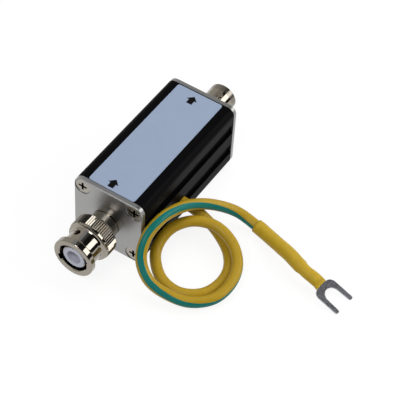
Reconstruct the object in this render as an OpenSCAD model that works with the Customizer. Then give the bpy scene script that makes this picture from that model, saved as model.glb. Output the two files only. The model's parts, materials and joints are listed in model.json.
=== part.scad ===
// Coaxial lightning arrestor: an extruded box with a bayonet plug at its input,
// a bayonet jack at its output and an earth lead that ends in a fork terminal.
// Millimetres. +X runs from the plug to the jack, +Z is up, and the origin is
// the middle of the housing's bottom face.

/* [Housing] */
// Length of the extruded housing
body_l = 50; // [46:1:80]
// Width of the housing
body_w = 25; // [24:0.5:32]
// Height of the housing
body_h = 25; // [24:0.5:32]
// Radius of the housing's long edges
body_corner_r = 2.6; // [1:0.1:3]
// Wall of the housing at its ribs
wall = 2.4; // [2:0.1:2.8]
// Height of the rib along the middle of each side
mid_rib_h = 4.8; // [4.4:0.1:5.6]
// Height of the groove above and below that rib
groove_h = 4.4; // [4.2:0.1:5]
// Depth of the grooves
groove_depth = 1; // [0.4:0.1:1.2]
// Place of the earth lead's hole along the housing
lead_hole_x = -3.5; // [-4.5:0.5:0.5]

/* [End plates] */
// Thickness of the end plates
plate_t = 1.6; // [1.4:0.1:2.4]
// Radius of the end plates' corners
plate_corner_r = 2.8; // [1:0.1:3.4]
// Bevel round the outer edge of the end plates
plate_bevel = 0.3; // [0.1:0.05:0.5]
// Distance of the plate screws from the plate's edges
screw_inset = 3; // [2.9:0.1:3.4]
// Thread diameter of the plate screws
screw_d = 3; // [2.5:0.1:3]
// Diameter of the countersunk screw heads
screw_head_d = 5.2; // [4.6:0.1:5.6]
// Length of the plate screws
screw_l = 8; // [6:0.5:12]
// Aluminium round each screw channel
channel_wall = 1.3; // [1:0.1:1.6]

/* [Label] */
// Bare top between the label and the front plate
label_front = 0.05; // [0.05:0.05:6]
// Bare top between the label and the rear plate
label_rear = 0.5; // [0.1:0.1:6]
// Bare top at each side of the label
label_side = 4.15; // [3.5:0.05:7]
// Thickness of the label
label_t = 0.15; // [0.1:0.05:0.3]
// Radius of the label's corners
label_corner_r = 0.8; // [0.4:0.1:2]

/* [Connectors] */
// Diameter of the threaded shanks through the plates
shank_d = 8; // [7.6:0.1:8.6]
// Thickness of the shank nuts
nut_t = 2.2; // [1.8:0.1:2.6]
// Width of the shank nuts across their flats
nut_af = 11; // [10:0.5:12]
// Thickness of the lock washers
lock_washer_t = 0.6; // [0.4:0.1:0.8]
// Diameter of the centre pins
pin_d = 1.35; // [1.2:0.05:1.5]
// Length of the centre pins inside the plates' outer faces
pin_tail = 9.6; // [8:0.2:12]
// Diameter of the insulators inside the shanks
insulator_d = 4.9; // [4.4:0.1:5]

/* [Plug] */
// Diameter of the plug's collar
collar_d = 9.6; // [9.2:0.1:9.8]
// Gap between the end plate and the coupling
coupling_gap = 5; // [4:0.2:7]
// Diameter of the plug's outer contact
contact_d = 8.06; // [7.9:0.02:8.1]
// Wall of the plug's outer contact
contact_wall = 0.18; // [0.15:0.01:0.25]
// Length of the outer contact in front of the plug's flange
contact_l = 7.9; // [7:0.1:8.4]
// Bore of the plug's insulator
socket_d = 4.9; // [4.8:0.05:5.2]
// Depth of that bore
socket_depth = 7; // [5:0.1:7.2]
// Length of the slits in the outer contact
slit_l = 5.5; // [4.5:0.1:6.5]
// Thickness of the plug's flange
flange_t = 0.9; // [0.7:0.1:1.2]

/* [Coupling] */
// Length of the coupling
coupling_l = 13.3; // [12.8:0.1:15]
// Bore of the coupling
coupling_bore = 9.9; // [9.8:0.05:10.1]
// Metal between the spring chamber and the tips of the knurl's teeth
knurl_wall = 1.1; // [1:0.05:1.4]
// Number of teeth on the knurl
knurl_teeth = 60; // [40:2:72]
// Depth of the knurl's teeth
knurl_depth = 0.35; // [0.2:0.05:0.4]
// Length of the knurl
knurl_l = 3.9; // [3:0.1:4.2]
// Smooth lip behind the knurl
lip_l = 0.7; // [0.4:0.1:1]
// Smooth shoulder in front of the knurl
shoulder_l = 0.8; // [0.5:0.1:1]
// Step from the knurl's teeth down to the smooth shoulder and the front flange
rim_step = 0.3; // [0.2:0.05:0.5]
// Length of the front flange
rim_l = 2; // [1.6:0.1:2.4]
// Diameter of the neck between them
neck_d = 11.5; // [11.4:0.1:11.8]
// Radius of the neck's fillets
neck_fillet = 1.2; // [0.5:0.1:1.2]
// Diameter of the lock holes
lock_hole_d = 2.2; // [2.1:0.1:2.5]
// Turn of the lock holes from straight up
lock_turn = 24; // [0:1:90]
// Axial play of the coupling against its spring
coupling_play = 0.8; // [0.4:0.1:0.9]
// Diameter of the spring chamber
chamber_d = 12.4; // [12.2:0.1:12.8]
// Length of the spring chamber
chamber_l = 4.7; // [4.4:0.1:4.9]

/* [Jack] */
// Diameter of the jack's barrel
barrel_d = 9.6; // [9.4:0.1:9.7]
// Reach of the jack from the end plate
jack_l = 12.9; // [11:0.1:15]
// Bore of the jack's barrel
jack_bore = 8.14; // [8.1:0.02:8.3]
// Diameter of the jack's flange
jack_flange_d = 12.8; // [11:0.2:15]
// Thickness of the jack's flange
jack_flange_t = 1.8; // [1.2:0.1:2.4]
// Diameter of the bayonet lugs
lug_d = 2; // [1.8:0.1:2]
// Span over the lugs' tips
lug_span = 11; // [10.6:0.1:11]
// Turn of the lugs from straight up
lug_turn = 15; // [0:1:90]
// Distance of the lugs from the jack's mouth
lug_back = 5; // [4.4:0.1:5.4]
// Diameter of the jack's insulator post
post_d = 4.7; // [4.4:0.1:4.8]
// Distance of that post behind the jack's mouth
post_back = 4.4; // [4.2:0.1:4.8]
// Diameter of the jack's centre contact
socket_contact_d = 2.2; // [2:0.1:2.6]

/* [Board] */
// Thickness of the circuit board
board_t = 1.6; // [1.2:0.1:1.8]
// Space between the board's ends and the housing's ends
board_inset = 6; // [5.5:0.5:7]
// Depth of the card slots in the housing's walls
slot_depth = 0.8; // [0.5:0.1:1]
// Diameter of the gas discharge tube
tube_d = 8; // [6:0.5:8]
// Length of the gas discharge tube
tube_l = 6; // [5:0.5:7]
// Diameter of the suppressor diode
diode_d = 3.5; // [2.8:0.1:4]
// Length of the suppressor diode
diode_l = 7; // [5:0.5:7]
// Diameter of the series resistor
resistor_d = 2.4; // [2:0.1:3]
// Length of the series resistor
resistor_l = 6.5; // [5:0.5:7]
// Diameter of the component leads
lead_wire_d = 0.8; // [0.6:0.1:1]

/* [Earth lead] */
// Diameter of the insulated earth wire
wire_d = 3.6; // [3.2:0.1:3.6]
// Diameter of its copper core
core_d = 1.8; // [1.4:0.1:2]
// Wall of the heat-shrink sleeve
sleeve_wall = 0.35; // [0.25:0.05:0.5]
// Diameter of the terminal's crimp barrel
crimp_d = 3.2; // [3:0.1:3.4]
// Length of the terminal's crimp barrel
crimp_l = 4.6; // [4:0.2:6]
// Width of the fork
fork_w = 8.4; // [8:0.1:10]
// Width of the fork's slot at its round end
fork_slot = 5.3; // [5:0.1:5.5]
// Narrowing of each prong towards its tip
prong_taper = 0.2; // [0.1:0.05:0.3]
// Straight length of the fork's prongs
prong_l = 4.9; // [4:0.1:6]
// Depth of the fork's web behind its slot
web_l = 2; // [1.6:0.1:3]
// Rounding of the web's corners
web_r = 2.2; // [1:0.1:2.5]
// Thickness of the fork
fork_t = 0.6; // [0.5:0.1:1]

/* [Hidden] */
$fn = 64;
// Small overlap that lets cuts break through a face
eps = 0.02;
// Running clearance between turned pieces
run_gap = 0.15;
// Clearance of pieces that are pushed into each other
push_gap = 0.02;
// Clearance of screws and leads in their holes
hole_gap = 0.1;
// Clearance between stacked rings
stack_gap = 0.05;

axis_z = body_h / 2;
plate_x = body_l / 2 + plate_t;
cavity_w = body_w - 2 * wall;
cavity_h = body_h - 2 * wall;
screw_y = body_w / 2 - screw_inset;
screw_z = body_h / 2 - screw_inset;
screw_r = screw_d / 2;
screw_head_r = screw_head_d / 2;
screw_head_h = screw_head_r - screw_r;
screw_sink = 0.25;
sink_gap = 0.2;
cross_w = 0.8;
cross_l = 3;
cross_depth = 0.9;
channel_l = screw_l + 2;

// Height of the lower grooves' middle, where the earth lead comes out
groove_mid_z = axis_z - (mid_rib_h + groove_h) / 2;
lead_hole_r = wire_d / 2 + hole_gap;

shank_r = shank_d / 2;
shank_in = plate_t + lock_washer_t + nut_t + 0.6;
pin_r = pin_d / 2;
insulator_r = insulator_d / 2;
washer_r = nut_af / 2;

// The plug, measured outwards from the end plate's face
collar_r = collar_d / 2;
groove_at = 0.9;
groove_l = 0.5;
groove_cut = 0.5;
end_ring_t = 1;
thrust_t = 0.4;
chamber_r = chamber_d / 2;
lip_depth = 0.2;
end_ring_z = coupling_gap + lip_depth;
thrust_z = end_ring_z + end_ring_t + stack_gap;
spring_z = thrust_z + thrust_t + stack_gap;
chamber_top = coupling_gap + chamber_l;
flange_top = chamber_top - run_gap;
flange_z = flange_top - flange_t;
spring_h = flange_z - stack_gap - spring_z;
flange_r = chamber_r - run_gap;
contact_top = flange_top + contact_l;
contact_r = contact_d / 2;
contact_in = contact_r - contact_wall;
contact_slit = 0.35;
insulator_step = flange_top;
insulator_top = contact_top + 0.2;
pin_top = insulator_top - 1.4;
gasket_t = 0.8;
gasket_r = coupling_bore / 2 - 0.1;
gasket_in = contact_r + hole_gap;
spring_t = 0.3;
spring_waves = 3;
spring_steps = 36;
spring_in = collar_r + run_gap;
spring_out = flange_r - run_gap;

// The coupling, on the same scale
knurl_r = chamber_r + knurl_wall;
rim_r = knurl_r - rim_step;
rim_round = 0.5;
arc_parts = 6;
lip_r = knurl_r - knurl_depth - stack_gap;
knurl_bed = lip_r - run_gap;
knurl_z = coupling_gap + lip_l;
shoulder_z = knurl_z + knurl_l;
neck_z = shoulder_z + shoulder_l;
coupling_top = coupling_gap + coupling_l;
neck_top = coupling_top - rim_l;
neck_r = neck_d / 2;
bore_r = coupling_bore / 2;
lug_gap = 0.05;
track_r = lug_span / 2 + lug_gap;
track_w = lug_d + 2 * lug_gap;
track_turn = 90;
track_parts = 6;
fillet_r = min(neck_fillet, rim_r - neck_r - stack_gap);
lock_z = neck_z + fillet_r + 1;
entry_depth = 3.2;

// The jack, measured outwards from the other end plate's face
barrel_r = barrel_d / 2;
jack_bore_r = jack_bore / 2;
jack_floor = jack_flange_t + 1.8;
disc_t = 0.8;
mouth_bevel = 0.3;
lug_z = jack_l - lug_back;
post_r = post_d / 2;
post_top = jack_l - post_back;
socket_r = socket_contact_d / 2;
socket_hole_depth = 5;
socket_slit = 0.3;

board_l = body_l - 2 * board_inset;
board_gap = 0.2;
board_w = cavity_w + 2 * slot_depth - 2 * board_gap;
board_top = axis_z - pin_r - stack_gap;
board_z = board_top - board_t;
lead_r = lead_wire_d / 2;
lead_bend = 1.2;
part_lift = 0.2;
tube_at = [-6, 0];
diode_at = [8, -4.5];
resistor_at = [8, 4.5];
tube_cap = 1;

core_r = core_d / 2;
core_bend = 1.6;
wire_end_y = -body_w / 2 + wall + 2;
core_rise_y = wire_end_y + core_bend + 0.8;

// The fork terminal: its tip on the table, and the way back along its barrel
terminal_tip = [-4.31, -72.66, 0.5];
terminal_pitch = 15;
terminal_yaw = 6;
terminal_back = [
    sin(terminal_yaw) * cos(terminal_pitch),
    cos(terminal_yaw) * cos(terminal_pitch),
    sin(terminal_pitch)
];
slot_floor = prong_l + fork_slot / 2;
slot_mouth = fork_slot / 2 + prong_taper;
prong_r = (fork_w / 2 - slot_mouth) / 2;
fork_l = slot_floor + web_l;
tongue_l = 1.2;
tongue_w = 2.4;
crimp_start = fork_l + tongue_l;
crimp_end = crimp_start + crimp_l + 0.4;

// The earth wire's route, from the solder joint out of the housing, twice round
// in a loose loop that leans on the housing, and on to the terminal
wire_route = [
    [lead_hole_x, wire_end_y, groove_mid_z], [lead_hole_x, -body_w / 2, groove_mid_z],
    [-3.1, -18.8, 6.2], [-3.7, -25.4, 3], [-7.7, -32.2, 1.9], [-13.7, -36.4, 1.9],
    [-20.5, -37.2, 1.9], [-26.7, -34.7, 1.9], [-30.1, -28.5, 1.9], [-28.5, -21, 2.3],
    [-22.4, -15.2, 4], [-14.9, -14.9, 6.8], [-8.8, -19.2, 8.3], [-5.7, -26.1, 7.7],
    [-7.3, -33.3, 6.2], [-12.7, -38.8, 5.2], [-19.6, -40.9, 4.3], [-26.8, -39.5, 3.4],
    [-31.9, -34.1, 3], [-34, -27.3, 3.9], [-34.4, -20.8, 6.2], [-31.8, -16, 10.2],
    [-27, -14.5, 14.9], [-20.7, -15, 17.2], [-13.8, -16, 16.1], [-6.6, -17.7, 13],
    [0.3, -21.3, 8.9], [5.3, -27.2, 4.8], [5.7, -34.6, 2.5], [4.1, -40, 2.8], [2.1, -45, 3.7],
    [0.1, -49.8, 4.7], [-1.8, -54, 5.1]
];
wire_sides = 8;
route_parts = 2;
sleeve_from = 28;
sleeve_sides = 16;
sleeve_r = wire_d / 2 + hole_gap + sleeve_wall;
sleeve_small_r = crimp_d / 2 + hole_gap + sleeve_wall;
sleeve_end_w = 4.6;
lead_points = concat(wire_route, [
    for (l = [crimp_end, fork_l + 2, fork_l + hole_gap]) terminal_along(l)
]);
wire_last = len(wire_route) * route_parts;

// A point on the terminal's axis, a distance back from its tip
function terminal_along(l) = terminal_tip + l * terminal_back;

// A point on the smooth curve through four route points, between the middle two
function on_curve(a, b, c, d, t) =
    0.5 * (2 * b + (c - a) * t + (2 * a - 5 * b + 4 * c - d) * t * t + (3 * b - a - 3 * c + d) * t * t * t);

// The smooth curve through a list of points, with a number of parts between neighbours
function smooth(p, parts) = let (n = len(p) - 1) [
    for (i = [0:n - 1], k = [0:parts - 1])
        on_curve(p[max(i - 1, 0)], p[i], p[i + 1], p[min(i + 2, n)], k / parts),
    p[n]
];

// A ring of points square to a path at one of its points, with its half width and half height
function ring(p, i, r, h, sides) =
    let (
        n = len(p) - 1,
        way = p[min(i + 1, n)] - p[max(i - 1, 0)],
        t = way / norm(way),
        s0 = cross(t, [0, 0, 1]),
        s = s0 / norm(s0),
        u = cross(s, t)
    ) [for (k = [0:sides - 1]) p[i] + r * cos(360 * k / sides) * s + h * sin(360 * k / sides) * u];

// A closed skin over rings of equal size, with flat ends
module skin(rings) {
    n = len(rings[0]);
    m = len(rings) - 1;
    sides = [
        for (i = [0:m - 1], k = [0:n - 1], half = [0, 1])
            let (a = i * n + k, b = i * n + (k + 1) % n)
                half == 0 ? [a, a + n, b + n] : [a, b + n, b]
    ];
    first = [for (k = [0:n - 1]) k];
    last = [for (k = [n - 1:-1:0]) m * n + k];
    polyhedron([for (r = rings) each r], concat(sides, [first, last]));
}

// A round tube's solid along a path, with a radius for each of its points
module swept(p, radii, sides) {
    skin([for (i = [0:len(p) - 1]) ring(p, i, radii[i], radii[i], sides)]);
}

// The wall between outer rings and inner rings of equal size, with flat ends
module hollow_skin(outer, inner) {
    n = len(outer[0]);
    m = len(outer) - 1;
    in = len(outer) * n;
    sides = [
        for (i = [0:m - 1], k = [0:n - 1])
            let (a = i * n + k, b = i * n + (k + 1) % n) each [
                [a, a + n, b + n], [a, b + n, b],
                [in + a, in + b + n, in + a + n], [in + a, in + b, in + b + n]
            ]
    ];
    ends = [
        for (k = [0:n - 1])
            let (j = (k + 1) % n, a = m * n + k, b = m * n + j) each [
                [k, j, in + j, in + k], [b, a, in + a, in + b]
            ]
    ];
    polyhedron(concat([for (r = outer) each r], [for (r = inner) each r]), concat(sides, ends));
}

module at_front() {
    translate([-plate_x, 0, axis_z]) rotate([0, -90, 0]) children();
}

module at_rear() {
    translate([plate_x, 0, axis_z]) rotate([0, 90, 0]) children();
}

module at_screws() {
    for (a = [-1, 1], b = [-1, 1]) translate([a * screw_z, b * screw_y, 0]) children();
}

module rounded_rect(w, h, r) {
    square([w - 2 * r, h], center = true);
    square([w, h - 2 * r], center = true);
    for (a = [-1, 1], b = [-1, 1]) translate([a * (w / 2 - r), b * (h / 2 - r)]) circle(r);
}

// A slab with round corners and a bevel round its upper edge
module bevelled_slab(w, h, t, r, bevel) {
    for (turn = [0, 90]) {
        across = turn == 0 ? w : h;
        along = turn == 0 ? h - 2 * r : w - 2 * r;
        rotate([0, 0, turn]) rotate([90, 0, 0]) linear_extrude(along, center = true) polygon([
            [-across / 2, 0], [across / 2, 0], [across / 2, t - bevel], [across / 2 - bevel, t],
            [bevel - across / 2, t], [-across / 2, t - bevel]
        ]);
    }
    for (a = [-1, 1], b = [-1, 1]) translate([a * (w / 2 - r), b * (h / 2 - r), 0]) {
        cylinder(t - bevel, r, r);
        translate([0, 0, t - bevel]) cylinder(bevel, r, r - bevel);
    }
}

// A flat ring, from its lower face up
module flat_ring(inner, outer, t) {
    difference() {
        cylinder(t, outer, outer);
        translate([0, 0, -eps]) cylinder(t + 2 * eps, inner, inner);
    }
}

module housing_profile() {
    translate([0, axis_z]) difference() {
        rounded_rect(body_w, body_h, body_corner_r);
        difference() {
            square([cavity_w, cavity_h], center = true);
            for (a = [-1, 1], b = [-1, 1])
                translate([a * screw_y, b * screw_z]) circle(screw_r + channel_wall);
        }
        for (side = [-1, 1], level = [-1, 1])
            translate([side * body_w / 2, level * (mid_rib_h + groove_h) / 2])
                square([2 * groove_depth, groove_h], center = true);
        translate([0, (board_top + board_z) / 2 - axis_z])
            square([board_w + 2 * board_gap, board_t + 2 * hole_gap], center = true);
    }
}

module housing() {
    color([0.05, 0.05, 0.055]) difference() {
        rotate([90, 0, 90]) linear_extrude(body_l, center = true) housing_profile();
        translate([lead_hole_x, -body_w / 2 - eps, groove_mid_z])
            rotate([-90, 0, 0]) cylinder(wall + 2 * eps, lead_hole_r, lead_hole_r);
        at_front() at_screws() translate([0, 0, -plate_t - channel_l])
            cylinder(channel_l + eps, screw_r + stack_gap, screw_r + stack_gap);
        at_rear() at_screws() translate([0, 0, -plate_t - channel_l])
            cylinder(channel_l + eps, screw_r + stack_gap, screw_r + stack_gap);
    }
}

module end_plate() {
    color([0.68, 0.66, 0.63]) difference() {
        translate([0, 0, -plate_t]) bevelled_slab(body_h, body_w, plate_t, plate_corner_r, plate_bevel);
        translate([0, 0, -plate_t - eps])
            cylinder(plate_t + 2 * eps, shank_r + hole_gap, shank_r + hole_gap);
        at_screws() {
            translate([0, 0, -plate_t - eps])
                cylinder(plate_t + 2 * eps, screw_r + hole_gap, screw_r + hole_gap);
            translate([0, 0, -screw_head_h - screw_sink])
                cylinder(screw_head_h, screw_r + hole_gap, screw_head_r + hole_gap);
            translate([0, 0, -screw_sink - eps])
                cylinder(screw_sink + 2 * eps, screw_head_r + sink_gap, screw_head_r + sink_gap);
        }
    }
}

module front_plate() {
    at_front() end_plate();
}

module rear_plate() {
    at_rear() end_plate();
}

// A countersunk screw with a cross recess, its head's face a little under the plate's
module plate_screw() {
    color([0.42, 0.39, 0.35]) translate([0, 0, -screw_sink]) difference() {
        union() {
            translate([0, 0, -screw_l]) cylinder(screw_l, screw_r, screw_r);
            translate([0, 0, -screw_head_h]) cylinder(screw_head_h, screw_r, screw_head_r);
        }
        for (turn = [0, 90]) rotate([0, 0, turn])
            translate([-cross_l / 2, -cross_w / 2, -cross_depth])
                cube([cross_l, cross_w, cross_depth + eps]);
    }
}

module front_plate_screws() {
    at_front() at_screws() plate_screw();
}

module rear_plate_screws() {
    at_rear() at_screws() plate_screw();
}

module label() {
    color([0.62, 0.69, 0.8]) translate([(label_front - label_rear) / 2, 0, body_h])
        linear_extrude(label_t)
            rounded_rect(body_l - label_front - label_rear, body_w - 2 * label_side, label_corner_r);
}

module lock_washer() {
    color([0.72, 0.7, 0.66]) translate([0, 0, -plate_t - lock_washer_t])
        flat_ring(shank_r + hole_gap, washer_r, lock_washer_t);
}

module shank_nut() {
    color([0.75, 0.73, 0.68]) translate([0, 0, -plate_t - lock_washer_t - nut_t]) difference() {
        cylinder(nut_t, nut_af / 2 / cos(30), nut_af / 2 / cos(30), $fn = 6);
        translate([0, 0, -eps]) cylinder(nut_t + 2 * eps, shank_r + stack_gap, shank_r + stack_gap);
    }
}

module plug_lock_washer() {
    at_front() lock_washer();
}

module plug_nut() {
    at_front() shank_nut();
}

module jack_lock_washer() {
    at_rear() lock_washer();
}

module jack_nut() {
    at_rear() shank_nut();
}

// The plug's turned body: shank, grooved collar, flange and slit outer contact
module plug_body() {
    color([0.78, 0.75, 0.7]) at_front() difference() {
        rotate_extrude() polygon([
            [insulator_r + push_gap, -shank_in], [shank_r, -shank_in], [shank_r, 0], [collar_r, 0],
            [collar_r, groove_at], [collar_r - groove_cut, groove_at],
            [collar_r - groove_cut, groove_at + groove_l], [collar_r, groove_at + groove_l],
            [collar_r, flange_z], [flange_r, flange_z], [flange_r, flange_top], [contact_r, flange_top],
            [contact_r, contact_top], [contact_in, contact_top], [contact_in, insulator_step],
            [insulator_r + push_gap, insulator_step]
        ]);
        for (turn = [0, 90]) rotate([0, 0, turn])
            translate([-contact_r - eps, -contact_slit / 2, contact_top - slit_l])
                cube([2 * (contact_r + eps), contact_slit, slit_l + eps]);
    }
}

module plug_insulator() {
    color([0.9, 0.91, 0.94]) at_front() rotate_extrude() polygon([
        [pin_r + push_gap, -shank_in], [insulator_r, -shank_in], [insulator_r, insulator_step],
        [contact_in - push_gap, insulator_step], [contact_in - push_gap, insulator_top],
        [socket_d / 2, insulator_top], [socket_d / 2, insulator_top - socket_depth],
        [pin_r + push_gap, insulator_top - socket_depth]
    ]);
}

module plug_pin() {
    color([0.8, 0.66, 0.36]) at_front() {
        translate([0, 0, -pin_tail]) cylinder(pin_tail + pin_top - pin_r, pin_r, pin_r);
        translate([0, 0, pin_top - pin_r]) cylinder(pin_r, pin_r, pin_r / 3);
    }
}

module plug_gasket() {
    color([0.55, 0.18, 0.12]) at_front() translate([0, 0, flange_top])
        flat_ring(gasket_in, gasket_r, gasket_t);
}

// A ring of spring strip that waves between the thrust washer and the plug's flange
module wave_washer() {
    middle = spring_z + spring_h / 2;
    swing = (spring_h - spring_t) / 2;
    color([0.6, 0.6, 0.62]) at_front() difference() {
        polyhedron(
            [
                for (level = [-1, 1], r = [0, spring_out], k = [0:spring_steps - 1])
                    let (a = 360 * k / spring_steps)
                        [r * cos(a), r * sin(a), middle + swing * cos(spring_waves * a) * (r > 0 ? 1 : 0)
                            + level * spring_t / 2]
            ],
            wave_faces(spring_steps)
        );
        translate([0, 0, spring_z - spring_h]) cylinder(3 * spring_h, spring_in, spring_in);
    }
}

// Triangles of a waved disc: its lower face, its upper face and its edge
function wave_faces(n) = [
    for (k = [0:n - 1]) let (j = (k + 1) % n) each [
        [k, n + k, n + j], [2 * n + k, 3 * n + j, 3 * n + k],
        [n + k, 3 * n + k, 3 * n + j], [n + k, 3 * n + j, n + j]
    ]
];

module thrust_washer() {
    color([0.7, 0.7, 0.7]) at_front() translate([0, 0, thrust_z])
        flat_ring(collar_r + run_gap, flange_r - run_gap, thrust_t);
}

module coupling_end_ring() {
    color([0.76, 0.73, 0.68]) at_front() translate([0, 0, end_ring_z])
        flat_ring(collar_r + run_gap, chamber_r - push_gap, end_ring_t);
}

module knurl_profile() {
    polygon([
        for (k = [0:2 * knurl_teeth - 1])
            let (a = 180 * k / knurl_teeth, r = k % 2 == 0 ? knurl_r : knurl_r - knurl_depth)
                [r * cos(a), r * sin(a)]
    ]);
}

// Points of an arc about a centre
function arc(c, r, from, to) = [
    for (k = [0:arc_parts]) let (a = from + (to - from) * k / arc_parts) c + r * [cos(a), sin(a)]
];

// The coupling's turned outline: lip, knurl's bed, shoulder, neck, front flange, bore and chamber
module coupling_profile() {
    polygon(concat(
        [
            [chamber_r, coupling_gap], [knurl_r - lip_l, coupling_gap], [lip_r, knurl_z],
            [knurl_bed, knurl_z], [knurl_bed, shoulder_z], [rim_r, shoulder_z], [rim_r, neck_z]
        ],
        arc([neck_r + fillet_r, neck_z + fillet_r], fillet_r, 270, 180),
        arc([neck_r + fillet_r, neck_top - fillet_r], fillet_r, 180, 90),
        [[rim_r, neck_top]],
        arc([rim_r - rim_round, coupling_top - rim_round], rim_round, 0, 90),
        [
            [bore_r + mouth_bevel, coupling_top], [bore_r, coupling_top - mouth_bevel],
            [bore_r, chamber_top], [chamber_r, chamber_top]
        ]
    ));
}

// The cam track that draws a bayonet lug from the front flange to its lock hole, in short tilted cuts
module lug_track() {
    entry_z = coupling_top - entry_depth;
    rise = entry_z - lock_z;
    step = track_turn / track_parts;
    cut_l = 2 * track_r * tan(step / 2) + 2 * lug_gap;
    for (i = [0.5:track_parts - 0.5]) rotate([0, 0, i * step])
        translate([0, 0, lock_z + rise * i / track_parts]) rotate([atan(rise / (PI * bore_r / 2)), 0, 0])
            translate([bore_r - 2 * run_gap, -cut_l / 2, -track_w / 2])
                cube([track_r - bore_r + 2 * run_gap, cut_l, track_w]);
    rotate([0, 0, track_turn]) translate([bore_r - 2 * run_gap, -track_w / 2, entry_z - track_w / 2])
        cube([track_r - bore_r + 2 * run_gap, track_w, entry_depth + track_w]);
}

module coupling() {
    color([0.78, 0.75, 0.7]) at_front() difference() {
        union() {
            rotate_extrude() coupling_profile();
            translate([0, 0, knurl_z]) linear_extrude(knurl_l) difference() {
                knurl_profile();
                circle((chamber_r + knurl_bed) / 2);
            }
        }
        rotate([0, 0, lock_turn]) for (turn = [0, 180]) rotate([0, 0, turn]) {
            translate([0, 0, lock_z]) rotate([0, 90, 0]) cylinder(knurl_r, lock_hole_d / 2, lock_hole_d / 2);
            lug_track();
        }
    }
}

// The jack's turned body: shank, flange and barrel with its two bayonet lugs
module jack_body() {
    color([0.78, 0.75, 0.7]) at_rear() difference() {
        union() {
            translate([0, 0, -shank_in]) cylinder(shank_in + eps, shank_r, shank_r);
            cylinder(jack_flange_t, jack_flange_d / 2, jack_flange_d / 2);
            cylinder(jack_l - mouth_bevel, barrel_r, barrel_r);
            translate([0, 0, jack_l - mouth_bevel]) cylinder(mouth_bevel, barrel_r, barrel_r - mouth_bevel);
            translate([0, 0, lug_z]) rotate([0, 0, lug_turn]) rotate([0, 90, 0])
                cylinder(lug_span, lug_d / 2, lug_d / 2, center = true);
        }
        translate([0, 0, jack_floor]) cylinder(jack_l, jack_bore_r, jack_bore_r);
        translate([0, 0, -shank_in - eps])
            cylinder(shank_in + jack_floor + 2 * eps, insulator_r + push_gap, insulator_r + push_gap);
    }
}

module jack_insulator() {
    color([0.9, 0.91, 0.94]) at_rear() rotate_extrude() polygon([
        [socket_r + push_gap, -shank_in], [insulator_r, -shank_in], [insulator_r, jack_floor],
        [jack_bore_r - push_gap, jack_floor], [jack_bore_r - push_gap, jack_floor + disc_t],
        [post_r, jack_floor + disc_t], [post_r, post_top], [socket_r + push_gap, post_top]
    ]);
}

// The jack's slit centre socket, with a pin at its back that is soldered to the board
module jack_contact() {
    color([0.8, 0.66, 0.36]) at_rear() difference() {
        union() {
            translate([0, 0, -shank_in]) cylinder(shank_in + post_top - push_gap, socket_r, socket_r);
            translate([0, 0, -pin_tail]) cylinder(pin_tail, pin_r, pin_r);
        }
        translate([0, 0, post_top - socket_hole_depth])
            cylinder(socket_hole_depth + eps, pin_r + push_gap, pin_r + push_gap);
        for (turn = [0, 90]) rotate([0, 0, turn])
            translate([-socket_r - eps, -socket_slit / 2, post_top - socket_hole_depth])
                cube([2 * (socket_r + eps), socket_slit, socket_hole_depth + eps]);
    }
}

// Half the distance between the two leads of a part of a given length
function lead_reach(l) = l / 2 + lead_bend + lead_r;

module board_holes(at, l) {
    for (side = [-1, 1])
        translate([at[0] + side * lead_reach(l), at[1], board_z - eps])
            cylinder(board_t + 2 * eps, lead_r + hole_gap, lead_r + hole_gap);
}

module circuit_board() {
    color([0.1, 0.32, 0.18]) difference() {
        translate([-board_l / 2, -board_w / 2, board_z]) cube([board_l, board_w, board_t]);
        translate(concat(tube_at, 0)) rotate([0, 0, 90]) board_holes([0, 0], tube_l);
        board_holes(diode_at, diode_l);
        board_holes(resistor_at, resistor_l);
        translate([lead_hole_x, core_rise_y, board_z - eps])
            cylinder(board_t + 2 * eps, core_r + hole_gap, core_r + hole_gap);
    }
}

// The two bent leads of a part that lies on the board, from its ends down through the board
module bent_leads(l, height) {
    for (side = [0, 180]) rotate([0, 0, side]) {
        translate([l / 2 - eps, 0, height]) rotate([0, 90, 0]) cylinder(lead_r + eps, lead_r, lead_r);
        translate([l / 2 + lead_r, 0, height - lead_bend]) rotate([90, 0, 0])
            rotate_extrude(angle = 90) translate([lead_bend, 0]) circle(lead_r);
        translate([lead_reach(l), 0, -board_t]) cylinder(height - lead_bend + board_t, lead_r, lead_r);
    }
}

module gas_discharge_tube() {
    height = tube_d / 2 + part_lift;
    color([0.85, 0.85, 0.88]) translate(concat(tube_at, board_top)) rotate([0, 0, 90]) {
        translate([0, 0, height]) rotate([0, 90, 0]) {
            cylinder(tube_l - tube_cap, tube_d * 0.45, tube_d * 0.45, center = true);
            for (end = [-1, 1]) translate([0, 0, end * (tube_l - tube_cap) / 2])
                cylinder(tube_cap, tube_d / 2, tube_d / 2, center = true);
        }
        bent_leads(tube_l, height);
    }
}

module axial_part(at, d, l) {
    height = d / 2 + part_lift;
    translate(concat(at, board_top)) {
        translate([0, 0, height]) rotate([0, 90, 0]) cylinder(l, d / 2, d / 2, center = true);
        bent_leads(l, height);
    }
}

module suppressor_diode() {
    color([0.12, 0.12, 0.13]) axial_part(diode_at, diode_d, diode_l);
}

module series_resistor() {
    color([0.75, 0.66, 0.5]) axial_part(resistor_at, resistor_d, resistor_l);
}

// The lead's bare core, from the end of its insulation up into the board
module earth_core() {
    color([0.8, 0.45, 0.25]) translate([lead_hole_x, 0, groove_mid_z]) {
        translate([0, wire_end_y + hole_gap, 0]) rotate([-90, 0, 0])
            cylinder(core_rise_y - core_bend - wire_end_y - hole_gap, core_r, core_r);
        translate([0, core_rise_y - core_bend, core_bend]) rotate([0, 90, 0])
            rotate_extrude(angle = 90) translate([core_bend, 0]) circle(core_r);
        translate([0, core_rise_y, core_bend])
            cylinder(board_top - groove_mid_z - core_bend, core_r, core_r);
    }
}

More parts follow.
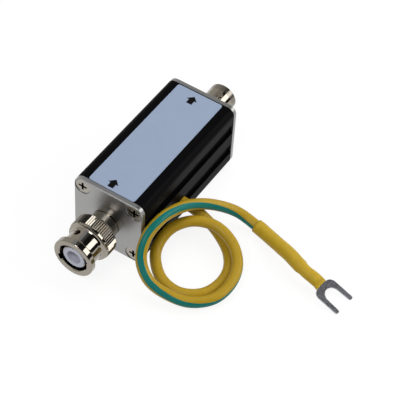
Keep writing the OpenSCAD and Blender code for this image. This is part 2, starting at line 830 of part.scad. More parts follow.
module earth_wire() {
    path = smooth(lead_points, route_parts);
    color([0.78, 0.64, 0.14])
        swept([for (i = [0:wire_last]) path[i]], [for (i = [0:wire_last]) wire_d / 2], wire_sides);
}

// The sleeve shrunk over the wire's end and the terminal's barrel, flat where it closes on the tongue
module shrink_sleeve() {
    path = smooth(lead_points, route_parts);
    first = sleeve_from * route_parts;
    last = len(path) - 1;
    wide = [for (i = [0:last]) i <= wire_last ? sleeve_r : i < last ? sleeve_small_r : sleeve_end_w / 2];
    high = [for (i = [0:last]) i < last ? wide[i] : fork_t / 2 + hole_gap * 2 + sleeve_wall];
    color([0.85, 0.7, 0.15]) hollow_skin(
        [for (i = [first:last]) ring(path, i, wide[i], high[i], sleeve_sides)],
        [for (i = [first:last]) ring(path, i, wide[i] - sleeve_wall, high[i] - sleeve_wall, sleeve_sides)]
    );
}

// The fork's outline, its tips at the origin and the web and tongue behind its slot
module fork_outline() {
    difference() {
        union() {
            translate([-fork_w / 2, prong_r]) square([fork_w, fork_l - web_r - prong_r]);
            translate([-fork_w / 2 + web_r, prong_r]) square([fork_w - 2 * web_r, fork_l - prong_r]);
            translate([-tongue_w / 2, slot_floor]) square([tongue_w, crimp_start + crimp_d / 2 - slot_floor]);
            for (side = [-1, 1]) {
                translate([side * (fork_w / 2 - web_r), fork_l - web_r]) circle(web_r);
                translate([side * (fork_w / 2 - prong_r), prong_r]) circle(prong_r);
            }
        }
        translate([0, prong_l]) circle(fork_slot / 2);
        polygon([
            [-fork_slot / 2, prong_l], [-slot_mouth, prong_r], [-slot_mouth, -eps],
            [slot_mouth, -eps], [slot_mouth, prong_r], [fork_slot / 2, prong_l]
        ]);
    }
}

module fork_terminal() {
    color([0.36, 0.37, 0.4])
    translate(terminal_tip) rotate([0, 0, -terminal_yaw]) rotate([terminal_pitch, 0, 0]) {
        translate([0, 0, -fork_t / 2]) linear_extrude(fork_t) fork_outline();
        translate([0, crimp_start, 0]) rotate([-90, 0, 0]) cylinder(crimp_l, crimp_d / 2, crimp_d / 2);
    }
}

housing();
front_plate();
rear_plate();
front_plate_screws();
rear_plate_screws();
label();
plug_body();
plug_insulator();
plug_pin();
plug_lock_washer();
plug_nut();
plug_gasket();
wave_washer();
thrust_washer();
coupling_end_ring();
coupling();
jack_body();
jack_insulator();
jack_contact();
jack_lock_washer();
jack_nut();
circuit_board();
gas_discharge_tube();
suppressor_diode();
series_resistor();
earth_core();
earth_wire();
shrink_sleeve();
fork_terminal();
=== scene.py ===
# %% [markdown]
# # A coaxial lightning arrestor
# The real thing is a black extruded aluminium box that sits in an aerial or camera cable. A bayonet
# plug is at its input, a bayonet jack at its output, and a yellow and green lead takes surges to earth.
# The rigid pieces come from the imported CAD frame, so this lesson gives them their finishes, lays the
# soft lead along its route, and lights everything like a plain studio shot.

# %% Load the frame
import json
import math

import bpy
from mathutils import Matrix, Vector


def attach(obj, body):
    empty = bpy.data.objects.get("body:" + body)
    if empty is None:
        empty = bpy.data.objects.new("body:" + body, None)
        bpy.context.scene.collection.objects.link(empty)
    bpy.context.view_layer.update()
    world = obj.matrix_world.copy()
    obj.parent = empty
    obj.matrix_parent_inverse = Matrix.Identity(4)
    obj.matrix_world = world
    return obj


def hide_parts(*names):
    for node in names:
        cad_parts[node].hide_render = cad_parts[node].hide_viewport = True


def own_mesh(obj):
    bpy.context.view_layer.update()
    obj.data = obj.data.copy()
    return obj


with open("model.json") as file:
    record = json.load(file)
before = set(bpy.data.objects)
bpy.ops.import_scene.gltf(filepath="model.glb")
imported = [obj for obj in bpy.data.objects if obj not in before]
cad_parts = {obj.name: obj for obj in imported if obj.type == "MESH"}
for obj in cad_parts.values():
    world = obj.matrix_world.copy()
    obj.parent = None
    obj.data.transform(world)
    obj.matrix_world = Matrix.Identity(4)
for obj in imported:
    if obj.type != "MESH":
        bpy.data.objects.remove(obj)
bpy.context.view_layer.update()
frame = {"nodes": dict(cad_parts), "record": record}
nodes = frame["nodes"]
MM = 0.001

# %% [markdown]
# ## The camera
# The box's edges were measured in the photograph, and the camera that makes them meet was worked out
# from them: a long lens, about 50 degrees above the table and off the plug's corner. Its three axes
# are written as the columns of a rotation, because that keeps the slight tilt of the picture.

# %% Camera
SENSOR_MM, LENS_MM = 36, 146.37
SHIFT_X, SHIFT_Y = -0.0026, -0.0002
CLIP_NEAR, CLIP_FAR = 0.01, 50
CAMERA_POSE = Matrix((
    (0.54447, 0.61650, -0.56875, -0.289986),
    (-0.83737, 0.43874, -0.32606, -0.183279),
    (0.04852, 0.65379, 0.75512, 0.393580),
    (0, 0, 0, 1),
))

camera_data = bpy.data.cameras.new("camera")
camera_data.sensor_width = SENSOR_MM
camera_data.lens = LENS_MM
camera_data.shift_x = SHIFT_X
camera_data.shift_y = SHIFT_Y
camera_data.clip_start = CLIP_NEAR
camera_data.clip_end = CLIP_FAR
camera = bpy.data.objects.new("camera", camera_data)
camera.matrix_world = CAMERA_POSE
bpy.context.scene.collection.objects.link(camera)
bpy.context.scene.camera = camera
print("camera at", tuple(camera.location))

# %% [markdown]
# ## Shader maths as Python
# A finish is a small network of nodes. Wiring each one by hand hides the idea, so a signal stands for
# one output socket here, and adding, multiplying or comparing signals adds the Math node that does it.
# Every other kind of node comes from one method, which takes the settings first and the sockets next.


# %% Signals
class Signal:
    """One output socket, with Python's operators."""

    def __init__(self, network, socket):
        self.network = network
        self.socket = socket

    def maths(self, operation, *values):
        return self.network.node("ShaderNodeMath", {"operation": operation}, dict(enumerate(values)))

    def __add__(self, other):
        return self.maths("ADD", self, other)

    def __sub__(self, other):
        return self.maths("SUBTRACT", self, other)

    def __rsub__(self, other):
        return self.maths("SUBTRACT", other, self)

    def __mul__(self, other):
        return self.maths("MULTIPLY", self, other)

    def __lt__(self, other):
        return self.maths("LESS_THAN", self, other)

    def __gt__(self, other):
        return self.maths("GREATER_THAN", self, other)

    def __or__(self, other):
        return self.maths("MAXIMUM", self, other)

    def __abs__(self):
        return self.maths("ABSOLUTE", self)

    __radd__ = __add__
    __rmul__ = __mul__


class Network:
    """A tree of shader nodes, and the one method that adds a node to it."""

    def __init__(self, tree):
        self.tree = tree

    def put(self, socket, value):
        if isinstance(value, Signal):
            self.tree.links.new(value.socket, socket)
        elif hasattr(value, "__len__") and len(value) == 3 and socket.type == "RGBA":
            socket.default_value = (*value, 1)
        else:
            socket.default_value = value

    def node(self, kind, settings=None, sockets=None, output=0):
        made = self.tree.nodes.new(kind)
        for name, value in (settings or {}).items():
            setattr(made, name, value)
        for name, value in (sockets or {}).items():
            self.put(made.inputs[name], value)
        return Signal(self, made.outputs[output])

    def seen(self):
        """1 for what the camera sees, straight or in metal and glass, and 0 for light itself."""
        rays = [f"Is {way} Ray" for way in ("Camera", "Glossy", "Transmission")]
        straight, glossy, through = [self.node("ShaderNodeLightPath", output=ray) for ray in rays]
        return straight | glossy | through


print("signals ready")

# %% [markdown]
# ## Finishes
# Each material of the arrestor is one Principled shader with a few nodes in front of it. Nothing real
# is one flat colour, so most finishes are two close shades mixed by a noise, and the same noise makes
# the gloss a little uneven. The helper for that is written once and used for nearly every piece.

# %% Finishes
NOISE_DETAIL, BEVEL_SAMPLES = 3, 8


class Finish(Network):
    """One material: a Principled shader and the nodes that feed it."""

    def __init__(self, name, **constants):
        self.material = bpy.data.materials.new(name)
        self.material.use_nodes = True
        super().__init__(self.material.node_tree)
        self.shader = self.tree.nodes["Principled BSDF"]
        self.set(**constants)

    def set(self, **sockets):
        for name, value in sockets.items():
            self.put(self.shader.inputs[name.replace("_", " ").title().replace("Ior", "IOR")], value)

    def place(self):
        """Where a point is, in its piece's own frame."""
        return self.node("ShaderNodeTexCoord", output="Object")

    def along(self, axis):
        """How far a point lies along one axis of that frame, in metres."""
        return self.node("ShaderNodeSeparateXYZ", {}, {0: self.place()}, output=axis)

    def stretched(self, scale):
        return self.node("ShaderNodeMapping", {}, {"Vector": self.place(), "Scale": scale})

    def noise(self, vector, scale):
        sockets = {"Vector": vector, "Scale": scale, "Detail": NOISE_DETAIL}
        return self.node("ShaderNodeTexNoise", {}, sockets)

    def blend(self, amount, first, second):
        settings = {"data_type": "RGBA"}
        return self.node("ShaderNodeMix", settings, {"Factor": amount, 6: first, 7: second}, output=2)

    def bump(self, height, depth, strength, edge=0.0):
        """Raise the surface by a pattern, and soften its sharp edges by a radius."""
        sockets = {"Height": height, "Distance": depth, "Strength": strength}
        if edge:
            sockets["Normal"] = self.node("ShaderNodeBevel", {"samples": BEVEL_SAMPLES}, {"Radius": edge})
        self.set(normal=self.node("ShaderNodeBump", {}, sockets))


def grain(finish, first, second, scale, stretch=(1, 1, 1)):
    """Two close shades, mixed by a noise that is stretched like the surface's own grain."""
    pattern = finish.noise(finish.stretched(stretch), scale)
    finish.set(base_color=finish.blend(pattern, first, second))
    return pattern


print("finishes ready")

# %% [markdown]
# ## The black extrusion
# Aluminium pushed through a die keeps faint lines along its length, and the black anodising over them
# is satin. Long thin noise, stretched along X, gives the lines: a little in the bump, a little in the
# roughness and hardly any in the colour.

# %% Housing
DIE_STRETCH = (0.02, 1, 1)

anodised = Finish("black_anodised", metallic=0.0, specular_ior_level=0.028)
die_lines = grain(anodised, (0.0018, 0.0018, 0.0022), (0.0036, 0.0036, 0.0044), 900, DIE_STRETCH)
anodised.set(roughness=0.36 + 0.14 * die_lines)
anodised.bump(die_lines, 0.03 * MM, 0.5)
print("housing finish:", anodised.material.name)

# %% [markdown]
# ## The end plates
# The plates are aluminium, tumbled until they are dull and slightly mottled. A fine noise does that to
# the shade, the roughness and the bump at once. The metal is written as a middle grey: the front plate
# mirrors the white floor before it, and a polished value would wash out to white.

# %% End plates
plate = Finish("plate_metal", metallic=1.0)
tumble = grain(plate, (0.329, 0.327, 0.324), (0.376, 0.374, 0.369), 1400)
plate.set(roughness=0.34 + 0.1 * tumble)
plate.bump(tumble, 0.01 * MM, 0.2)
print("plate finish:", plate.material.name)

# %% [markdown]
# ## The nickel plating
# Plug, coupling and jack are turned parts with bright nickel on them. The cutter leaves fine rings
# about the X axis, and a noise squeezed along X draws them. Plugs rub the jack's mouth, so beyond one
# place along X the plating is rougher, and its colour is painted darker there as painted shade that
# ends the bright highlight short of the mouth. A small bevel rounds the sharp edges for the light.

# %% Nickel
RING_STRETCH = (12, 0.4, 0.4)
RUBBED_AND_SHADED_FROM = 36.9

nickel = Finish("nickel", metallic=1.0)
turning = nickel.noise(nickel.stretched(RING_STRETCH), 400)
plating = nickel.blend(turning, (0.289, 0.263, 0.222), (0.333, 0.303, 0.259))
# Past this place the jack's mouth is rubbed rougher, and its colour is painted darker as painted shade.
rubbed_and_shaded = nickel.along("X") > RUBBED_AND_SHADED_FROM * MM
nickel.set(base_color=nickel.blend(rubbed_and_shaded, plating, (0.23, 0.21, 0.18)))
nickel.set(roughness=0.05 + 0.05 * turning + 0.16 * rubbed_and_shaded)
nickel.bump(turning, 0.01 * MM, 0.2, edge=0.06 * MM)
print("plating:", nickel.material.name, "rubbed beyond", RUBBED_AND_SHADED_FROM, "mm")

# %% [markdown]
# ## The screws
# The screws have a dull zinc coat with a little tarnish, and their cross recesses are painted near
# black as painted shade. The recesses lie deeper than the heads' faces, so one comparison of the
# distance along X finds them at both ends of the box.

# %% Screws
RECESS_X = 26.3

zinc = Finish("screw_steel", metallic=1.0)
tarnish = zinc.noise(zinc.place(), 2200)
coat = zinc.blend(tarnish, (0.335, 0.313, 0.276), (0.415, 0.391, 0.347))
recess_shade = abs(zinc.along("X")) < RECESS_X * MM
# The recesses get a near-black colour: painted shade in the hollows.
zinc.set(base_color=zinc.blend(recess_shade, coat, (0.06, 0.055, 0.048)))
zinc.set(roughness=0.22 + 0.1 * tarnish)
print("screws:", zinc.material.name, "dark within", RECESS_X, "mm")

# %% [markdown]
# ## Steel, tin, gilt and copper
# The washers and the spring are plain steel, the fork is tinned and dull, the centre contacts are gilt
# and the lead's core is bare copper. Each is two close shades of its metal with an uneven gloss, and
# the tin also has a soft bump, because dipped tin is never quite smooth.

# %% Other metals
steel = Finish("steel", metallic=1.0)
steel.set(roughness=0.25 + 0.15 * grain(steel, (0.48, 0.48, 0.49), (0.58, 0.58, 0.59), 1800))

tinned = Finish("tinned", metallic=1.0)
dull_tin = grain(tinned, (0.22, 0.222, 0.242), (0.40, 0.403, 0.432), 1100)
tinned.set(roughness=0.26 + 0.2 * dull_tin)
tinned.bump(dull_tin, 0.03 * MM, 0.4)

gilt = Finish("gilt", metallic=1.0)
gilt.set(roughness=0.18 + 0.1 * grain(gilt, (0.72, 0.50, 0.20), (0.82, 0.61, 0.28), 900))

copper = Finish("copper", metallic=1.0)
copper.set(roughness=0.3 + 0.15 * grain(copper, (0.62, 0.27, 0.14), (0.72, 0.36, 0.20), 1500))
print("other metals:", [f.material.name for f in (steel, tinned, gilt, copper)])

# %% [markdown]
# ## The label
# The sticker is a pale blue-grey film. Two plain block arrows show which way the signal runs, and the
# rest is bare. An arrow is a bar and a triangle, so it is drawn with comparisons on the point's own
# place: inside the bar, or inside the lines that run to the tip.

# %% Label
ARROWS_X = (-22.4, 20.75)
ARROW_Y = 1.0
BAR_HALF, HEAD_HALF, HEAD_L, BAR_L = 1.0, 1.9, 1.85, 1.75
OVERLAP = 0.01

film = Finish("label", metallic=0.0, specular_ior_level=0.05)
off = abs(film.along("Y") * (1 / MM) - ARROW_Y)
arrows = []
for arrow_x in ARROWS_X:
    ahead = film.along("X") * (1 / MM) - arrow_x
    bar = (ahead > -BAR_L) * (ahead < OVERLAP) * (off < BAR_HALF)
    head = (ahead > 0.0) * (off < (HEAD_L - ahead) * (HEAD_HALF / HEAD_L))
    arrows.append(bar | head)
mottle = film.noise(film.place(), 260)
paper = film.blend(mottle, (0.327, 0.40, 0.545), (0.355, 0.43, 0.572))
film.set(base_color=film.blend(arrows[0] | arrows[1], paper, (0.005, 0.005, 0.006)))
film.set(roughness=0.34 + 0.1 * mottle)
film.bump(mottle, 0.02 * MM, 0.3)
print("label with", len(arrows), "arrows")

# %% [markdown]
# ## Plastics, rubber and the parts inside
# The insulators are smooth white plastic, the gasket is red silicone, and the board and its parts are
# out of sight in the closed box. Each still gets two shades and an uneven gloss, so that an opened or
# cut model looks like what it is.

# %% Plain finishes
PLAIN = {
    "insulator": ((0.60, 0.62, 0.73), (0.66, 0.68, 0.79), 500, 0.32),
    "gasket": ((0.22, 0.04, 0.025), (0.30, 0.06, 0.04), 1500, 0.55),
    "board": ((0.012, 0.085, 0.035), (0.03, 0.14, 0.06), 300, 0.35),
    "ceramic": ((0.68, 0.68, 0.69), (0.80, 0.80, 0.81), 700, 0.25),
    "black_resin": ((0.012, 0.012, 0.012), (0.025, 0.025, 0.025), 1200, 0.5),
    "resistor": ((0.50, 0.40, 0.24), (0.64, 0.54, 0.36), 800, 0.35),
}
SPREAD = 0.1

plain = {}
for name, (first, second, scale, roughness) in PLAIN.items():
    plain[name] = Finish(name)
    pattern = grain(plain[name], first, second, scale)
    plain[name].set(roughness=roughness - SPREAD / 2 + SPREAD * pattern)
print("plain finishes:", list(plain))

# %% [markdown]
# ## Dressing the CAD nodes
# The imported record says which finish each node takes, so one loop can hand them out. The wire and the
# sleeve are left over, because the scene makes its own smooth ones further down.

# %% Hand out the finishes
FINISHES = {
    "black_anodised": anodised, "plate_metal": plate, "nickel": nickel, "screw_steel": zinc,
    "steel": steel, "tinned": tinned, "gilt": gilt, "copper": copper, "label": film, **plain,
}
dressed = 0
for row in frame["record"]["subparts"]:
    finish = FINISHES.get(row["material_slot"])
    if finish:
        mesh = nodes[row["node"]].data
        mesh.materials.clear()
        mesh.materials.append(finish.material)
        dressed += 1
print("dressed", dressed, "of", len(nodes), "nodes")

# %% [markdown]
# ## The lead's route
# The lead leaves the lower groove, makes two loose turns beside the box, and runs on to its fork. Its
# points were chosen against the photograph, and the CAD has the same list. A smooth curve
# through them keeps the bends as round as a stiff wire makes them.

# %% Route of the lead
ROUTE = [
    (-3.5, -8.1, 7.9), (-3.5, -12.5, 7.9), (-3.1, -18.8, 6.2), (-3.7, -25.4, 3), (-7.7, -32.2, 1.9),
    (-13.7, -36.4, 1.9), (-20.5, -37.2, 1.9), (-26.7, -34.7, 1.9), (-30.1, -28.5, 1.9),
    (-28.5, -21, 2.3), (-22.4, -15.2, 4), (-14.9, -14.9, 6.8), (-8.8, -19.2, 8.3),
    (-5.7, -26.1, 7.7), (-7.3, -33.3, 6.2), (-12.7, -38.8, 5.2), (-19.6, -40.9, 4.3),
    (-26.8, -39.5, 3.4), (-31.9, -34.1, 3), (-34, -27.3, 3.9), (-34.4, -20.8, 6.2),
    (-31.8, -16, 10.2), (-27, -14.5, 14.9), (-20.7, -15, 17.2), (-13.8, -16, 16.1),
    (-6.6, -17.7, 13), (0.3, -21.3, 8.9), (5.3, -27.2, 4.8), (5.7, -34.6, 2.5), (4.1, -40, 2.8),
    (2.1, -45, 3.7), (0.1, -49.8, 4.7), (-1.8, -54, 5.1),
]
TIP = Vector((-4.31, -72.66, 0.5))
PITCH, YAW = math.radians(15), math.radians(6)
BACK = Vector((math.sin(YAW) * math.cos(PITCH), math.cos(YAW) * math.cos(PITCH), math.sin(PITCH)))
FORK_L, CRIMP_END = 9.55, 15.75
TONGUE_AT, SLEEVE_END_AT = FORK_L + 2, FORK_L + 0.1
PARTS = 8

points = [Vector(p) for p in ROUTE]
points += [TIP + BACK * back for back in (CRIMP_END, TONGUE_AT, SLEEVE_END_AT)]


def smooth(p, parts):
    """The smooth curve through the points, as the CAD draws it."""
    curve = []
    for i in range(len(p) - 1):
        a, b, c, d = p[max(i - 1, 0)], p[i], p[i + 1], p[min(i + 2, len(p) - 1)]
        for k in range(parts):
            t = k / parts
            curve.append(0.5 * (
                2 * b + (c - a) * t + (2 * a - 5 * b + 4 * c - d) * t**2 + (3 * b - a - 3 * c + d) * t**3
            ))
    return curve + [p[-1]]


line = smooth(points, PARTS)
wire_line = line[: len(ROUTE) * PARTS + 1]
run = [0.0]
for a, b in zip(wire_line, wire_line[1:]):
    run.append(run[-1] + (b - a).length)
print("lead's length in mm:", round(run[-1], 1))

# %% [markdown]
# ## Sweeping a tube
# A curve with a bevel would draw a wire, but the green stripe has to follow one side of it while it
# slowly twists. So the tube is swept by hand: one helper lays a ring of points square to the path, and
# another joins rings with faces. The sleeve and the spring washer are made with them too.


# %% Sweeping helpers
def cross_axes(path, i):
    """The sideways and upward directions square to the path at one of its points."""
    way = (path[min(i + 1, len(path) - 1)] - path[max(i - 1, 0)]).normalized()
    side = way.cross(Vector((0, 0, 1))).normalized()
    return side, side.cross(way)


def ring(path, i, wide, high, sides):
    """Points round the path, with a half width and a half height."""
    side, up = cross_axes(path, i)
    turns = [2 * math.pi * k / sides for k in range(sides)]
    return [(path[i] + wide * math.cos(a) * side + high * math.sin(a) * up) * MM for a in turns]


def skin(name, rings, close_ends=True):
    """One smooth mesh over rings of equal size."""
    n = len(rings[0])
    faces = []
    for i in range(len(rings) - 1):
        for k in range(n):
            j = (k + 1) % n
            faces.append((i * n + k, i * n + j, (i + 1) * n + j, (i + 1) * n + k))
    if close_ends:
        last = (len(rings) - 1) * n
        faces.append(tuple(reversed(range(n))))
        faces.append(tuple(last + k for k in range(n)))
    mesh = bpy.data.meshes.new(name)
    mesh.from_pydata([p for r in rings for p in r], [], faces)
    mesh.polygons.foreach_set("use_smooth", [len(f) == 4 for f in faces])
    mesh.update()
    piece = bpy.data.objects.new(name, mesh)
    bpy.context.scene.collection.objects.link(piece)
    return piece


print("sweeping helpers ready")

# %% [markdown]
# ## The wire and its stripe
# The wire is yellow with one green stripe. Each point of the tube keeps how squarely it faces the
# stripe's middle, and the finish turns that number into a sharp green band. A short list says at which
# angle round the wire the stripe lies after so many millimetres, as the photograph shows it.

# %% Wire
WIRE_R, WIRE_SIDES = 1.8, 32
STRIPE_HALF = 33
STRIPE_LAY = [
    (0, 240), (78, 240), (93, 205), (108, 198), (124, 190), (139, 150), (153, 104), (166, 66),
    (182, 32), (190, 16), (199, 4), (207, -5), (240, -12),
]


def lay_at(mm):
    """The stripe's angle in degrees, so many millimetres along the wire."""
    for (a, first), (b, second) in zip(STRIPE_LAY, STRIPE_LAY[1:]):
        if mm <= b:
            return first + (second - first) * (mm - a) / (b - a)
    return STRIPE_LAY[-1][1]


wire_rings = [ring(wire_line, i, WIRE_R, WIRE_R, WIRE_SIDES) for i in range(len(wire_line))]
wire = skin("earth_lead", wire_rings)
facing = [
    math.cos(math.radians(360 * k / WIRE_SIDES - lay_at(mm))) for mm in run for k in range(WIRE_SIDES)
]
wire.data.attributes.new("stripe", "FLOAT", "POINT").data.foreach_set("value", facing)
print("wire rings:", len(wire_rings))

# %% [markdown]
# ## The wire's sheath
# The sheath is soft glossy plastic, slightly cloudy, with a fine unevenness from the extruder. The
# stripe is coloured plastic in the same skin, so it changes the colour and nothing else.

# %% Sheath
sheath = Finish("wire_sheath", specular_ior_level=0.24)
stripe = sheath.node("ShaderNodeAttribute", {"attribute_name": "stripe"}, output="Fac")
green = stripe > math.cos(math.radians(STRIPE_HALF))
cloudy = sheath.noise(sheath.place(), 350)
yellow = sheath.blend(cloudy, (0.45, 0.285, 0.012), (0.51, 0.33, 0.02))
sheath.set(base_color=sheath.blend(green, yellow, (0.001, 0.175, 0.148)))
sheath.set(roughness=0.32 + 0.12 * cloudy)
sheath.bump(sheath.noise(sheath.place(), 1800), 0.03 * MM, 0.3)
wire.data.materials.append(sheath.material)
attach(wire, "arrestor")
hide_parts("earth_wire")
print("sheath:", sheath.material.name)

# %% [markdown]
# ## The heat-shrink sleeve
# The sleeve is a thin tube shrunk over the wire's end and the fork's barrel. It is full on the wire,
# narrows to a waist past the wire's end, swells a little over the barrel and is pinched flat on the
# fork's tongue. The same sweep makes it: out along the outside, round the lip, back along the inside.

# %% Sleeve
SLEEVE_FROM, SLEEVE_SIDES = 28, 40
WALL, LIP = 0.25, 0.08
BIG_R, WAIST_R, BARREL_R = 2.28, 1.96, 2.06
STEP_FROM, STEP_TO, PINCH_FROM = 8.7, 7.3, 1.8
END_WIDE, END_HIGH = 2.42, 0.8
LIFT, LIFT_FROM, LIFT_TO = 0.3, 6.0, 3.5
RIPPLE, FAST_RIPPLE, SLOW_RIPPLE = 0.03, 0.55, 0.21

sleeve_line = line[SLEEVE_FROM * PARTS:]


def eased(t):
    """A soft step from 0 to 1."""
    t = min(max(t, 0), 1)
    return t * t * (3 - 2 * t)


def sleeve_size(i):
    """The outside's half width, half height and lift at one point of the sleeve's line."""
    to_end = (sleeve_line[i] - sleeve_line[-1]).length
    barrel = WAIST_R + (BARREL_R - WAIST_R) * eased((STEP_TO - to_end) / (STEP_TO - PINCH_FROM))
    radius = BIG_R + (barrel - BIG_R) * eased((STEP_FROM - to_end) / (STEP_FROM - STEP_TO))
    radius += RIPPLE * math.sin(FAST_RIPPLE * i) * math.sin(SLOW_RIPPLE * i + 1)
    pinch = eased(1 - to_end / PINCH_FROM)
    lift = LIFT * eased((LIFT_FROM - to_end) / (LIFT_FROM - LIFT_TO)) * (1 - pinch)
    return radius + (END_WIDE - radius) * pinch, radius + (END_HIGH - radius) * pinch, lift


def sleeve_ring(i, inwards):
    wide, high, lift = sleeve_size(i)
    _, up = cross_axes(sleeve_line, i)
    points_round = ring(sleeve_line, i, wide - inwards, high - inwards, SLEEVE_SIDES)
    return [p + up * lift * MM for p in points_round]


count = len(sleeve_line)
rings = [sleeve_ring(0, WALL), sleeve_ring(0, LIP)]
rings += [sleeve_ring(i, 0) for i in range(count)]
rings.append(sleeve_ring(count - 1, LIP))
rings += [sleeve_ring(i, WALL) for i in range(count - 1, -1, -1)]
sleeve = skin("heat_shrink_sleeve", rings, close_ends=False)
print("sleeve rings:", len(rings))

# %% [markdown]
# ## The sleeve's finish
# Shrunk film is a brighter yellow than the wire and less glossy, with a soft bump where it has drawn
# tight.

# %% Sleeve finish
shrunk = Finish("sleeve", specular_ior_level=0.25)
drawn = grain(shrunk, (0.54, 0.345, 0.014), (0.62, 0.41, 0.024), 500)
shrunk.set(roughness=0.42 + 0.12 * drawn)
shrunk.bump(drawn, 0.06 * MM, 0.4)
sleeve.data.materials.append(shrunk.material)
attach(sleeve, "arrestor")
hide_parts("shrink_sleeve")

[p * MM for p in wire_line]
print("cord with", sleeve.name, "and", nodes["fork_terminal"].name)

# %% [markdown]
# ## The spring washer
# Behind the coupling's shoulder a waved ring of spring steel holds the coupling back. Pushing the
# coupling flattens it, which a rigid solid can't do. So a swept ring of the same strip stands for it.

# %% Spring washer
AXIS_Z = 12.5
SPRING_X, SPRING_IN, SPRING_OUT = -34.25, 4.95, 5.9
SPRING_T, SPRING_SWING, SPRING_WAVES, SPRING_STEPS = 0.3, 0.8, 3, 72


def strip_ring(turn):
    """The strip's four corners at one angle round the plug."""
    corners = []
    for r, face in ((SPRING_IN, -1), (SPRING_OUT, -1), (SPRING_OUT, 1), (SPRING_IN, 1)):
        wave = SPRING_SWING * math.cos(SPRING_WAVES * turn) * r / SPRING_OUT
        x = SPRING_X - wave + face * SPRING_T / 2
        corners.append(Vector((x, r * math.sin(turn), AXIS_Z + r * math.cos(turn))) * MM)
    return corners


strip = [strip_ring(2 * math.pi * k / SPRING_STEPS) for k in range(SPRING_STEPS + 1)]
spring = skin("spring_washer", strip, close_ends=False)
spring.data.shade_flat()
spring.data.materials.append(steel.material)
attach(spring, "arrestor")
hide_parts("wave_washer")
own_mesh(spring)
print("spring rings:", len(strip))

# %% [markdown]
# ## The floor
# The photograph has a plain white ground. For the camera and in reflections the floor glows nearly
# white, and the small share of its colour that takes light keeps the part's soft shadow. For light
# that bounces off it the floor is a plain grey, so the white costs the object none of its own colour.

# %% Floor
FLOOR_HALF, FLOOR_Z = 3.0, -0.1 * MM
FLOOR_GLOW = 0.87
BLACK, WHITE = (0, 0, 0), (1, 1, 1)
BOUNCING, LIT = (0.6, 0.6, 0.6), (0.17, 0.17, 0.17)


def sheet(name, corners, finish):
    """A flat piece of the studio with four corners."""
    mesh = bpy.data.meshes.new(name)
    mesh.from_pydata(corners, [], [(0, 1, 2, 3)])
    mesh.materials.append(finish.material)
    made = bpy.data.objects.new(name, mesh)
    bpy.context.scene.collection.objects.link(made)
    return made


ground = Finish("ground", roughness=0.8, specular_ior_level=0.1, emission_strength=FLOOR_GLOW)
seen = ground.seen()
ground.set(base_color=ground.blend(seen, BOUNCING, LIT))
ground.set(emission_color=ground.blend(seen, BLACK, WHITE))
square = ((-1, -1), (1, -1), (1, 1), (-1, 1))
floor = sheet("floor", [(x * FLOOR_HALF, y * FLOOR_HALF, FLOOR_Z) for x, y in square], ground)
print("floor half width:", FLOOR_HALF)

# %% [markdown]
# ## The world
# The world does as the floor does. It is plain white where it is seen, straight or in metal, and dim
# where it acts as a lamp, so the shadows stay soft and the colours come out about as written.

# %% World
WORLD_AS_LAMP, WORLD_AS_SEEN = 0.24, 1.0

world = bpy.data.worlds.new("studio")
bpy.context.scene.world = world
world.use_nodes = True
air = Network(world.node_tree)
as_lamp = air.node("ShaderNodeBackground", {}, {"Color": WHITE, "Strength": WORLD_AS_LAMP})
as_seen = air.node("ShaderNodeBackground", {}, {"Color": WHITE, "Strength": WORLD_AS_SEEN})
either = air.node("ShaderNodeMixShader", {}, {0: air.seen(), 1: as_lamp, 2: as_seen})
air.put(air.tree.nodes["World Output"].inputs["Surface"], either)
print("world strength as a lamp:", WORLD_AS_LAMP)

# %% [markdown]
# ## The lamps
# Three soft boxes light the part. A wide one above gives the even light and stays out of reflections,
# a long strip beside the box draws one bright line along each turned piece, and a small one in front
# reaches the plug. Places are in metres, as for a table-top studio.


# %% Lamps
def softbox(name, spot, target, size, watts):
    """A rectangular lamp that faces a target."""
    data = bpy.data.lights.new(name, "AREA")
    data.shape = "RECTANGLE"
    data.size, data.size_y = size
    data.energy = watts
    lamp = bpy.data.objects.new(name, data)
    lamp.location = spot
    lamp.rotation_mode = "QUATERNION"
    lamp.rotation_quaternion = (Vector(target) - Vector(spot)).to_track_quat("-Z", "Y")
    bpy.context.scene.collection.objects.link(lamp)
    return lamp


def round_x(angle, x, reach):
    """A spot round the X direction: the angle is from straight up towards -Y."""
    return Vector((x, -reach * math.sin(math.radians(angle)), reach * math.cos(math.radians(angle))))


STUDIO_REACH = 0.6
STRIP_ANGLE, STRIP_X = 51.5, 0.45
strip_spot = round_x(STRIP_ANGLE, STRIP_X, STUDIO_REACH)

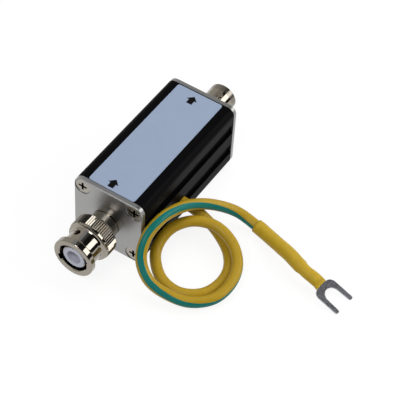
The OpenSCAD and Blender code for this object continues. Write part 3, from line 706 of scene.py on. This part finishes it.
top_box = softbox("top_box", spot=(0.22, 0.02, 0.50), target=(0, -0.02, 0), size=(0.5, 0.5), watts=1.0)
top_box.visible_glossy = False
softbox("strip_box", spot=strip_spot, target=(STRIP_X, 0, 0), size=(0.9, 0.33), watts=2.43)
softbox("front_box", spot=(-0.36, 0, 0.50), target=(-0.03, 0, 0.012), size=(0.2, 0.2), watts=1.0)

# %% [markdown]
# ## The cards
# Bright plating shows what stands round it, so a photographer hangs cards about the object. These lie
# on an arc round the X direction, out of the camera's sight: paler ones behind, dark ones above and
# towards the camera. They show in reflections only. The white floor shows in the metals below them,
# and the white world past their ends.

# %% Cards
NEAR_X, MID_X, JACK_X, FAR_X = -0.8, 0.0, 0.41, 1.0
DARK = (0.02, 0.02, 0.02)
INNER_REACH = 0.59

# The angles from straight up at which a card starts and ends, its ends along X, its shade and distance
CARDS = {
    "card_back": (-110, -33, NEAR_X, FAR_X, (0.66, 0.64, 0.60), STUDIO_REACH),
    "card_cool": (-33, -13, NEAR_X, FAR_X, (0.48, 0.51, 0.58), STUDIO_REACH),
    "card_far": (-34, 8, JACK_X, FAR_X, (0.46, 0.44, 0.41), INNER_REACH),
    "card_dim": (-13, 3, NEAR_X, FAR_X, (0.12, 0.12, 0.12), STUDIO_REACH),
    "card_above": (3, 36, NEAR_X, FAR_X, DARK, STUDIO_REACH),
    "card_front": (36, 67, NEAR_X, MID_X, DARK, STUDIO_REACH),
    "card_right": (67, 100, NEAR_X, FAR_X, DARK, STUDIO_REACH),
}


def card(name, corners, shade):
    """A card that shows in reflections only."""
    paint = Finish(name, roughness=0.9, specular_ior_level=0.0, base_color=BLACK)
    paint.set(emission_color=shade, emission_strength=1.0)
    made = sheet(name, corners, paint)
    made.visible_camera = False
    made.visible_shadow = False
    made.visible_diffuse = False


for name, (start, end, near, far, shade, reach) in CARDS.items():
    around = ((start, near), (end, near), (end, far), (start, far))
    card(name, [round_x(angle, x, reach) for angle, x in around], shade)
print("cards:", len(CARDS))

# %% [markdown]
# ## Finish
# The view transform stays Standard, so that colours come out about as they are written.

# %% Close
bpy.context.scene.view_settings.view_transform = "Standard"
